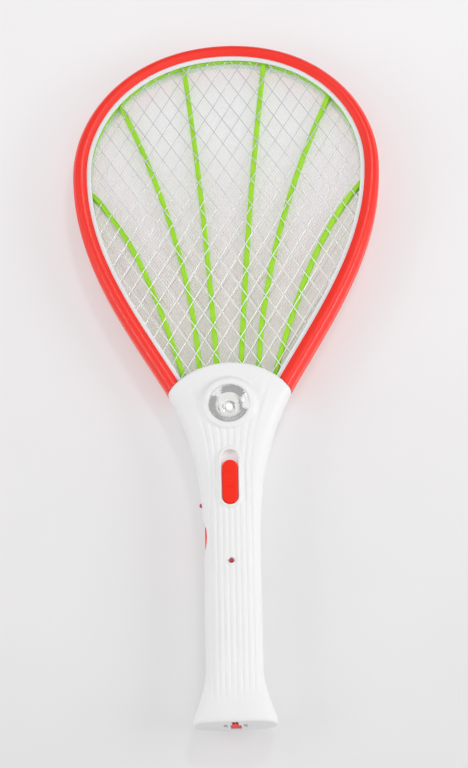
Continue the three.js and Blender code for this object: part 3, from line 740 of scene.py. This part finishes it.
def edge_inset(z):
    """How far the end face's rounding takes the surface in."""
    drop = np.clip(1 - np.asarray(z, float) / END_EDGE, 0, 1)
    return END_ROUNDING * (1 - np.sqrt(1 - drop**2))


def half_depth(z):
    """Half the handle's depth at each height, thinner towards the collar."""
    return GRIP_HALF_DEPTH - (GRIP_HALF_DEPTH - COLLAR_HALF_DEPTH) * smooth(z, 190, 242) - edge_inset(z)


def squareness(z):
    """Exponent of the handle's section at each height: 2 is an ellipse, more is boxier."""
    return 2.8 + 1.2 * smooth(z, 150, 235)


MIDDLE_HALF = 14.6  # the fluted middle of the handle has evenly spaced columns out to here


def skin_columns(z, middle_steps, side_steps):
    """x and distance from the parting plane of the plain handle at each height, from +x to -x."""
    width, depth, power = half_width(z)[:, None], half_depth(z)[:, None], squareness(z)[:, None]
    middle = np.broadcast_to(np.linspace(MIDDLE_HALF, -MIDDLE_HALF, middle_steps), (len(z), middle_steps))
    start = np.arccos((MIDDLE_HALF / width) ** (power / 2))
    angles = start * np.linspace(0, 1, side_steps + 1)[:-1]
    side_x = width * np.cos(angles) ** (2 / power)
    side_y = depth * np.maximum(np.sin(angles), 0) ** (2 / power)
    middle_y = depth * (1 - np.abs(middle / width) ** power) ** (1 / power)
    x = np.hstack([side_x, middle, -side_x[:, ::-1]])
    y = np.hstack([side_y, middle_y, side_y[:, ::-1]])
    return x, np.maximum(y, SEAM)


def flutes(x, z):
    """Depth of the grip's grooves, which spread round the lamp and fade towards the end."""
    spread = 1 + 0.58 * np.clip((z - 165) / 44, 0, None) ** 1.6
    fade = smooth(z, 12, 24) * (1 - smooth(z, 214, 236))
    depth = np.zeros_like(x)
    for k in range(FLUTES):
        centre = (k - (FLUTES - 1) / 2) * FLUTE_PITCH * spread
        distance = np.abs(x - centre - 0.2) / (FLUTE_HALF_WIDTH * spread**0.5)
        depth += np.where(distance < 1, np.cos(distance * math.pi / 2) ** 2, 0)
    return FLUTE_DEPTH * fade * depth


def spine_distance(x, z, z0, z1, half):
    """Distance from the middle line of a stadium."""
    beyond = z - np.clip(z, z0 + half, z1 - half)
    return np.hypot(x, beyond)


def front_relief(x, depth, z):
    """The front shell's flutes, lamp mound, slot rim and rounded collar edge."""
    z = np.broadcast_to(z[:, None], x.shape)
    depth = depth - flutes(x, z) * smooth(depth, 1, 5)
    reach = np.hypot(x, z - LAMP_Z)
    mound = LAMP_RIM_FACE - 1.25 * np.clip(reach - LAMP_RIM_RADIUS, 0, None)
    mound = mound - 0.25 * smooth(reach, LAMP_RIM_RADIUS - 2.2, LAMP_RIM_RADIUS)
    mound = mound - 0.6 * np.clip((LAMP_RADIUS + 1 - reach) / 1.0, 0, 1) ** 2
    depth = np.where(reach < 26, smooth_max(depth, mound, 1.0), depth)
    aside = spine_distance(x, z, SLOT_Z0, SLOT_Z1, SLOT_HALF_WIDTH)
    rim_edge = SLOT_HALF_WIDTH + SLOT_RIM
    rim = SLOT_RIM_FACE - 1.1 * np.clip(aside - rim_edge + 0.6, 0, None)
    rim = rim - 0.35 * np.clip((SLOT_HALF_WIDTH + 0.6 - aside) / 0.6, 0, 1) ** 2
    depth = np.where(aside < rim_edge + 3, smooth_max(depth, rim, 0.5), depth)
    return depth - collar_rounding(x, z)


def rear_relief(x, depth, z):
    """The rear shell's flutes and rounded collar edge."""
    z = np.broadcast_to(z[:, None], x.shape)
    return depth - flutes(x, z) * smooth(depth, 1, 5) - collar_rounding(x, z)


def collar_rounding(x, z):
    """How far the surface drops towards the collar's arc."""
    inside = COLLAR_RADIUS - np.hypot(x, z - COLLAR_CENTRE_Z)
    near = np.clip(1 - inside / 1.4, 0, 1) * (z > COLLAR_CENTRE_Z)
    return 0.8 * near**2


def half_form(relief, z, middle_steps, side_steps, inset=0.0, close_at=-SEAM):
    """One half of the handle as a closed solid, its flat face at y = close_at, on the front side."""
    x, depth = skin_columns(z, middle_steps, side_steps)
    if inset:
        x = np.sign(x) * np.maximum(np.abs(x) - inset * np.abs(x) / half_width(z)[:, None], 0)
        depth = np.maximum(depth * (1 - inset / half_depth(z)[:, None]), SEAM)
    if relief:
        depth = relief(x, depth, z)
    depth = np.maximum(depth, SEAM)
    skin = np.stack([x, -depth, np.broadcast_to(z[:, None], x.shape)], axis=-1)
    if close_at > -SEAM:
        ends = skin[:, [-1, 0]].copy()
        ends[..., 1] = close_at
        skin = np.concatenate([skin, ends], axis=1)
    return loft(skin)


def fine_heights():
    """Heights of the outer skin's rows: close at the end's edge and round the lamp and the slot."""
    edge = END_EDGE * (1 - np.cos(np.linspace(0, math.pi / 2, 9)))
    return np.concatenate([edge, np.arange(4.5, 134, 1.5), np.arange(134, 243.6, 0.65)])


def above_collar():
    """All the space beyond the arc on which the handle ends."""
    angles = np.linspace(0, math.pi, 160)
    beyond = [(-120, COLLAR_CENTRE_Z), (-120, 400), (120, 400)]
    outline = np.vstack([[(120, COLLAR_CENTRE_Z)], collar_arc(angles, COLLAR_RADIUS), beyond])
    return prism(outline, -60, 60)


# Each pair of screws: distance to either side, height and the radius of the posts that they go into.
SCREW_PAIRS = [(27, 205, 4.2), (12.6, 96, 3.7), (17, 11.5, 4.2)]
SCREWS = [(x, z, post) for aside, z, post in SCREW_PAIRS for x in (aside, -aside)]
SCREW_SEAT = 6.0
SCREW_PILOT = 1.6
SCREW_BORE = 3.1

SCALLOP_DEPTH = 2.4
SCALLOP_HALF_LENGTH = 12.5
SCALLOP_PAD_DEPTH = 9.5  # the thicker wall behind the finger scallop


def shell(front):
    """One hollow half of the handle with its screw posts, made as a front half."""
    relief = front_relief if front else rear_relief
    made = solid(half_form(relief, fine_heights(), 141, 40))
    coarse = np.concatenate([[WALL], np.arange(4, 246, 4.0)])
    made = cut(made, half_form(None, coarse, 21, 14, inset=WALL, close_at=2.0))
    inner = [cylinder(x, z, post, -OUTSIDE, -SEAM, 32) for x, z, post in SCREWS]
    if front:
        low = (-SLOT_HALF_WIDTH - WALL, -SLOT_FLOOR - 1.2, SLOT_Z0 - SLOT_RIM)
        inner.append(box(low, (-low[0], WALL - SLOT_FLOOR, SLOT_Z1 + SLOT_RIM)))
    reach = SCALLOP_HALF_LENGTH + 1
    pad_x = BUTTON_BACK_X - BUTTON_FLANGE - GAP
    low = (-GRIP_HALF_WIDTH, -SCALLOP_PAD_DEPTH, BUTTON_Z - reach)
    inner.append(box(low, (pad_x, -SEAM, BUTTON_Z + reach)))
    posts = solid(merged(inner))
    heights = np.concatenate([[0.6], np.arange(4, 244, 3.0)])
    posts = combine(posts, solid(half_form(None, heights, 21, 14, inset=0.6)), "INTERSECT")
    made = combine(made, posts, "UNION")
    return cut(made, above_collar())


PLUG_TIP_Z = 0.4
BLADE_X = 6.35
BLADE_HALF_THICKNESS = 0.75
BLADE_HALF_DEPTH = 3.15
BLADE_PLAY = 0.4
# Half widths of the plug nose's tongue and body, and the y of its front, step and back.
NOSE = {"tongue": 1.9, "body": 3.2, "front": -10, "step": -1, "back": 9.4}
MOUTH_PLAY = 0.3


def nose_blocks(grow, z0, z1):
    """The plug nose's narrow front tongue and its wider body, grown by a margin."""
    tongue, body = NOSE["tongue"] + grow, NOSE["body"] + grow
    return [
        rounded_box((-tongue, NOSE["front"] - grow, z0), (tongue, NOSE["step"] + 1, z1), 0.5),
        rounded_box((-body, NOSE["step"] - grow, z0), (body, NOSE["back"] + grow, z1), 0.5),
    ]


def twin_boxes(centre_x, half_width, y_range, z_range):
    """Two boxes, as far to the left as to the right of the middle."""
    (y0, y1), (z0, z1) = y_range, z_range
    return [box((x - half_width, y0, z0), (x + half_width, y1, z1)) for x in (-centre_x, centre_x)]


def shared_cuts():
    """The plug's mouth, the finger scallop and window of the push button and the side lamp's hole."""
    tongue, body = nose_blocks(MOUTH_PLAY, -1, WALL + 1)
    slit_x, slit_y = BLADE_HALF_THICKNESS + BLADE_PLAY, BLADE_HALF_DEPTH + BLADE_PLAY
    radius = (SCALLOP_HALF_LENGTH**2 + SCALLOP_DEPTH**2) / (2 * SCALLOP_DEPTH)
    scallop_x = -GRIP_HALF_WIDTH + SCALLOP_DEPTH - radius
    rise = BUTTON_HALF_LENGTH + GAP
    high = BUTTON_HALF_HEIGHT + GAP
    hole = LED_RADIUS + GAP
    return [
        [tongue],
        [body],
        twin_boxes(BLADE_X, slit_x, (-slit_y, slit_y), (-1, WALL + 1)),
        [cylinder(scallop_x, BUTTON_Z, radius, -20, 20, 240)],
        [side_stadium(rise, high, -OUTSIDE, BUTTON_BACK_X + 0.6)],
        [turned([(0, -OUTSIDE), (hole, -OUTSIDE), (hole, -12), (0, -12)], (0, 0, SIDE_LED_Z), 32, "x")],
    ]


def side_stadium(half_length, half_height, x0, x1, steps=20):
    """A stadium in the YZ plane round the push button's centre, from x0 to x1."""
    outline = stadium(half_height, -half_length, half_length, steps)
    return loft([[(x, y, z + BUTTON_Z) for y, z in outline] for x in (x0, x1)])


def housings():
    """Both shells, with their openings."""
    front = shell(True)
    lamp_well = cylinder(0, LAMP_Z, LAMP_RADIUS, -OUTSIDE, -8, 128)
    slot = prism(stadium(SLOT_HALF_WIDTH, SLOT_Z0, SLOT_Z1), -OUTSIDE, -SLOT_FLOOR)
    stem_x, stem_z = STEM_HALF_WIDTH + GAP, SLOT_Z0 + STEM_START - GAP
    stem_end = stem_z + STEM_LENGTH + SLIDE_TRAVEL + 2 * GAP
    stem = box((-stem_x, -SLOT_FLOOR - 1, stem_z), (stem_x, 0, stem_end))
    pilots = [cylinder(x, z, SCREW_PILOT, -8.3, 1, 24) for x, z, _ in SCREWS]
    for tools in [[lamp_well], [slot], [stem], pilots, *shared_cuts()]:
        front = cut(front, *tools)
    front = cut(front, cylinder(0, FRONT_LED_Z, LED_RADIUS + GAP, -OUTSIDE, -8, 32))
    piece(front, "front_housing", shell_white, "handle")

    rear = shell(False)
    flip(rear)
    thumb_slot = prism(stadium(2.6, 8.5, 33.5), SCREW_SEAT, OUTSIDE)
    bores = [cylinder(x, z, SCREW_BORE, SCREW_SEAT, OUTSIDE, 48) for x, z, _ in SCREWS]
    holes = [cylinder(x, z, SCREW_PILOT, -1, SCREW_SEAT + 1, 24) for x, z, _ in SCREWS]
    for tools in [[thumb_slot], bores, holes, *shared_cuts()]:
        rear = cut(rear, *tools)
    piece(rear, "rear_housing", shell_white, "handle")


def housing_screws():
    """Pan-head screws with a crossed recess, seated in the rear shell."""
    seat = SCREW_SEAT + GAP
    head = [(2.7, seat), (2.7, seat + 0.9), (2.3, seat + 1.5), (1.4, seat + 1.85), (0, seat + 2)]
    thread = [(0, -7.6), (0.5, -7.6)]
    for turn in range(22):
        y = -7 + turn * 0.55
        thread += [(1.0, y), (1.25, y + 0.2), (1.0, y + 0.4)]
    profile = thread + [(1.2, seat - 0.3), (1.25, seat)] + head
    for i, (x, z, _) in enumerate(SCREWS):
        made = solid(turned(profile, (x, 0, z), 40))
        for across, up in ((1.7, 0.3), (0.3, 1.7)):
            made = cut(made, box((x - across, seat + 0.9, z - up), (x + across, 30, z + up)))
        piece(made, f"housing_screw_{i + 1}", plated, "handle")


# ------------ lamp and indicator lamps
def arc_points(centre, radius, start, end, steps):
    """Points of an arc in a [radius, distance] profile, angles in degrees."""
    angles = np.radians(np.linspace(start, end, steps))
    return [(centre[0] + radius * math.cos(a), centre[1] + radius * math.sin(a)) for a in angles]


def lamp():
    """The bowl with its shallow outer cone, its flat cover and the round-nosed lamp at its bottom."""
    edge = LAMP_RADIUS - 0.12
    bowl = [(3 + 6 * t**0.7, -4.4 - 6.3 * t**1.6) for t in np.linspace(0, 1, 18)]
    cone = [(9.3, -10.85), (9.7, -11.0), (edge - 0.5, -12.95), (edge, -13.1)]
    back = [(edge, -12.5), (9.9, -10.3), (9.3, -9.9)] + [(r + 0.35, y + 0.75) for r, y in bowl[-2::-1]]
    made = solid(turned(bowl + cone + back, (0, 0, LAMP_Z), 96))
    piece(made, "lamp_reflector", chrome, "handle", sharp=40)

    cover = [(0, -14.3), (5, -14.25), (9, -14.1), (12, -13.95)]
    cover += [(edge, -13.7), (edge, -13.45), (0, -13.45)]
    piece(solid(turned(cover, (0, 0, LAMP_Z), 96)), "lamp_lens", lens_clear, "handle")

    radius = 2.5
    nose = [(max(r, 0), y) for r, y in arc_points((0, -9.6 + radius), radius, -90, 0, 10)]
    nose[0] = (0, nose[0][1])
    body = nose + [(radius, -2.6), (radius + 0.4, -2.5), (radius + 0.4, -1.3), (0, -1.3)]
    piece(solid(turned(body, (0, 0, LAMP_Z), 48)), "lamp_led", led_clear, "handle")


def indicator(name, axis, centre, tip, back):
    """A small round-nosed indicator lamp along an axis, its tip at a distance in front of the centre."""
    nose = arc_points((0, tip + LED_RADIUS), LED_RADIUS, -90, 0, 10)
    nose[0] = (0, tip)
    body = nose + [(LED_RADIUS, back), (0, back)]
    piece(solid(turned(body, centre, 40, axis)), name, led_red, "handle")


# ------------ switches
def pillow(half, z0, z1, levels, steps=24):
    """A stadium pad built from [inset, y] levels, from its back to its face."""
    rows = []
    for inset, y in levels:
        rows.append(lifted(stadium(half - inset, z0 + inset, z1 - inset, steps), y))
    return loft(rows)


def slide_cap():
    """A stadium key with rounded edges and two low cross ridges, on the stem that moves the switch."""
    edge, ridge = 1.1, 0.28
    face = CAP_FACE - ridge
    turn = np.linspace(0, math.pi / 2, 7)
    levels = [(0, -SLOT_FLOOR - GAP)]
    levels += [(edge * (1 - math.cos(a)), -(face - edge + edge * math.sin(a))) for a in turn]
    made = solid(pillow(CAP_HALF_WIDTH, cap_low[2], cap_high[2], levels, 32))
    section = rounded([(-0.6, 0.3), (0.6, 0.3), (0.3, -ridge), (-0.3, -ridge)], 0.08)
    for share in (0.39, 0.735):
        z = cap_low[2] + (cap_high[2] - cap_low[2]) * share
        rows = [[(x, v - face, z + u) for u, v in section] for x in (-2.9, 2.9)]
        made = join(made, loft(rows))
    stem_z = SLOT_Z0 + STEM_START
    low = (-STEM_HALF_WIDTH, -12.2, stem_z)
    made = join(made, box(low, (STEM_HALF_WIDTH, -8.3, stem_z + STEM_LENGTH)))
    piece(made, "slide_cap", switch_red, "slide_switch")


def side_button():
    """An oblong key with rounded edges and a dished face, on a flange behind the shells."""
    face = BUTTON_FACE_X
    edge = 0.9
    turn = np.linspace(0, math.pi / 2, 7)
    step = BUTTON_BACK_X - BUTTON_FLANGE
    levels = [(-BUTTON_FLANGE, BUTTON_BACK_X), (-BUTTON_FLANGE, step), (0, step - 0.02)]
    levels += [(edge * (1 - math.cos(a)), face + edge - edge * math.sin(a)) for a in turn]
    levels += [(edge + 3.2 * s, face + 0.5 * s * s) for s in (0.3, 0.65, 1)]
    rows = []
    for inset, x in levels:
        half, length = BUTTON_HALF_HEIGHT - inset, BUTTON_HALF_LENGTH - inset
        outline = stadium(half, -length, length, 24)
        rows.append(np.column_stack([np.full(len(outline), x), outline[:, 0], outline[:, 1] + BUTTON_Z]))
    piece(solid(loft(rows)), "side_button", switch_red, "push_button")


# ------------ charging plug
def plug():
    """The carrier (the nose between the blades, its block and its stem) and both blades."""
    tongue, body = nose_blocks(0, PLUG_TIP_Z, 20.5)
    made = join(solid(tongue), body)
    made = join(made, rounded_box((-9.4, -6.4, 20), (9.4, 8.4, 33), 0.8))
    made = join(made, rounded_box((-2, 7.5, 27), (2, 13.9, 33), 0.5))
    seats = twin_boxes(BLADE_X, 1.1, (-3.6, 3.6), (19, 30.4))
    made = cut(made, *seats)
    sockets = twin_boxes(0.95, 0.55, (-8.4, -3.2), (PLUG_TIP_Z - 1, PLUG_TIP_Z + 6))
    made = cut(made, *sockets)
    piece(made, "plug_carrier", plug_red, "charging_plug")

    for side, name in ((-1, "left"), (1, "right")):
        made = cut(solid(blade_form(side)), blade_hole(side))
        piece(made, f"plug_blade_{name}", plated, "charging_plug")


def blade_form(side):
    """A flat blade with a tapered tip."""
    across, deep = BLADE_HALF_THICKNESS, BLADE_HALF_DEPTH
    outline = rounded([(-across, -deep), (across, -deep), (across, deep), (-across, deep)], 0.25)
    rows = []
    for shrink, rise in ((0.62, 0), (0.9, 0.7), (1, 1.4), (1, 29.6)):
        section = outline * [shrink, 0.7 + 0.3 * shrink]
        rows.append(np.column_stack([section, np.full(len(outline), PLUG_TIP_Z + rise)]))
    return loft(np.array(rows) + [side * BLADE_X, 0, 0])


def blade_hole(side):
    """The round hole through a blade near its tip."""
    x = side * BLADE_X
    return turned([(0, x - 2), (1.5, x - 2), (1.5, x + 2), (0, x + 2)], (0, 0, PLUG_TIP_Z + 5), 32, "x")


def rounded_box(low, high, radius):
    """A box with rounded vertical edges."""
    (x0, y0, z0), (x1, y1, z1) = low, high
    section = rounded([(x0, y0), (x1, y0), (x1, y1), (x0, y1)], radius)
    return loft([[(x, y, z) for x, y in section] for z in (z0, z1)])


def thumb_slide():
    """A pad with rounded edges and four finger ridges on the rear face."""
    low, high = box_mm("thumb_slide")
    levels = ((0.4, 14.2), (0, 14.5), (0, 14.75), (0.15, 15.0), (0.5, 15.1))
    rows = []
    for inset, y in levels:
        corners = [(low[0] + inset, low[2] + inset), (high[0] - inset, low[2] + inset)]
        corners += [(high[0] - inset, high[2] - inset), (low[0] + inset, high[2] - inset)]
        rows.append(lifted(rounded(corners, 1.5, 6), y))
    made = solid(loft(rows))
    ridges = []
    for k in range(4):
        z = low[2] + 2.75 + 3 * k
        section = rounded([(-0.8, 14.9), (0.8, 14.9), (0.35, 15.6), (-0.35, 15.6)], 0.3)
        ends = (low[0] + 0.8, high[0] - 0.8)
        ridges.append(loft([[(x, v, z + u) for u, v in section] for x in ends]))
    piece(join(made, *ridges), "thumb_slide", switch_red, "charging_plug")


# ------------ inner pieces shown as the CAD made them
INNER_FINISHES = [
    (board_green, ["circuit_board"]),
    (coil_yellow, ["step_up_transformer"]),
    (film_brown, ["storage_capacitor", "film_capacitor", "discharge_resistor"]),
    (black_plastic, ["drive_transistor", "battery", "switch_lever", "tact_switch"]),
    (plated, ["switch_body", "plug_contact_left", "plug_contact_right"]),
    (lead_red, ["front_grid_lead", "rear_grid_lead", "battery_lead"]),
    (lead_black, ["middle_grid_lead", "lamp_lead", "charging_lead"]),
]


def inner_pieces():
    """Gives the pieces that the CAD already draws finely enough their materials."""
    for material, names in INNER_FINISHES:
        for name in names:
            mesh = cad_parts[name].data
            mesh.materials.clear()
            mesh.materials.append(material)


# ------------ stage, light and camera
def paper():
    """Matt pale paper with a faint tooth. Its emission is painted light that grows with height, lighter
    towards the top and darker lower down, as if lit from above.
    """
    made = Shader("paper")
    base = made.mix(made.between(made.noise(6, 3), 0.0, 1.0), (202, 201, 202), (199, 198, 199))
    made.set(Base_Color=base, Roughness=0.9, Specular_IOR_Level=0.2)
    # painted light: the paper's emission grows with height
    painted_light = made.between(made.height(), 0.42, 0.66, -0.05, 0.55)
    made.set(Emission_Color=base, Emission_Strength=painted_light)
    made.set(Normal=made.bump(made.noise(500, 4), 0.05, 0.0002))
    return made.material


def stage(camera):
    """The pale surface that the racket lies on, hidden when the camera is behind it."""
    y, half = cad_high[1] + BENCH_GAP, BENCH_HALF_SIZE
    mesh = bpy.data.meshes.new("surface")
    corners = [(-half, y, -half), (half, y, -half), (half, y, half), (-half, y, half)]
    mesh.from_pydata(corners, [], [(0, 1, 2, 3)])
    mesh.materials.append(paper())
    surface = add_object("surface", mesh)
    driver = surface.driver_add("hide_render").driver
    place = driver.variables.new()
    place.name = "depth"
    place.type = "TRANSFORMS"
    place.targets[0].id = camera
    place.targets[0].transform_type = "LOC_Y"
    driver.expression = f"depth > {y:.4f}"


CAMERA_ANGLES = (3.168, -22.0, -1.0965)  # azimuth, elevation and roll, in degrees
CAMERA_TARGET = (2.965, 0.0, 230.3)
CAMERA_DISTANCE = 1300.0
CAMERA_LENS = 91.03


def camera():
    """Looks up along the handle from below and in front of it."""
    azimuth, elevation, roll = (math.radians(angle) for angle in CAMERA_ANGLES)
    level = math.cos(elevation)
    back = Vector((math.sin(azimuth) * level, -math.cos(azimuth) * level, math.sin(elevation)))
    data = bpy.data.cameras.new("camera")
    data.lens = CAMERA_LENS
    made = add_object("camera", data)
    made.location = (Vector(CAMERA_TARGET) + back * CAMERA_DISTANCE) * MM
    turn = (-back).to_track_quat("-Z", "Y").to_matrix().to_4x4()
    made.rotation_euler = (turn @ Matrix.Rotation(roll, 4, "Z")).to_euler()
    bpy.context.scene.camera = made
    return made


WORLD_LIGHT = 0.42
WORLD_SEEN = 0.92
BENCH_HALF_SIZE = 3.0  # metres
BENCH_GAP = 0.0006  # metres between the racket's rear and the surface


def softbox(name, place, size, power, target=(0, 0, 0.25)):
    """A rectangular area light aimed at the object; places and sizes are metres, power is watts."""
    data = bpy.data.lights.new(name, "AREA")
    data.shape = "RECTANGLE"
    data.size, data.size_y = size
    data.energy = power
    made = add_object(name, data)
    made.location = place
    made.rotation_euler = (Vector(target) - Vector(place)).to_track_quat("-Z", "Y").to_euler()


def lights():
    """A small key high above the head, soft boxes round it, weaker ones behind, and an even surround
    that the camera sees paler than it lights."""
    softbox("key", (0.45, -1.45, 1.15), (0.25, 0.25), 3.5)
    softbox("front_box", (0.45, -1.6, 0.2), (1.3, 1.3), 3.1)
    softbox("left_box", (-1.05, -1.25, 0.7), (1.1, 1.1), 2.5)
    softbox("right_strip", (1.05, -0.5, 0.1), (0.4, 0.7), 4.8)
    softbox("left_strip", (-1.05, -0.6, 0.1), (0.4, 0.7), 3.0)
    softbox("low_box", (0.1, -0.9, -0.95), (0.9, 0.4), 1.75)
    softbox("back_key", (0.9, 1.5, 0.9), (1.2, 1.2), 13)
    softbox("back_fill", (-1.2, 1.3, 0.2), (1.2, 1.2), 7)
    world = bpy.data.worlds.new("studio")
    world.use_nodes = True
    nodes, links = world.node_tree.nodes, world.node_tree.links
    ray = nodes.new("ShaderNodeLightPath")
    strength = nodes.new("ShaderNodeMapRange")
    strength.inputs["To Min"].default_value = WORLD_LIGHT
    strength.inputs["To Max"].default_value = WORLD_SEEN
    links.new(ray.outputs["Is Camera Ray"], strength.inputs["Value"])
    links.new(strength.outputs["Result"], nodes["Background"].inputs["Strength"])
    nodes["Background"].inputs["Color"].default_value = srgb(247, 247, 247)
    bpy.context.scene.world = world
    bpy.context.scene.view_settings.view_transform = "Standard"


head()
housings()
housing_screws()
lamp()
indicator("front_indicator_led", "y", (0, 0, FRONT_LED_Z), -14.6, -8.6)
indicator("side_indicator_led", "x", (0, 0, SIDE_LED_Z), -21.3, -15)
slide_cap()
side_button()
plug()
thumb_slide()
inner_pieces()
stage(camera())
lights()
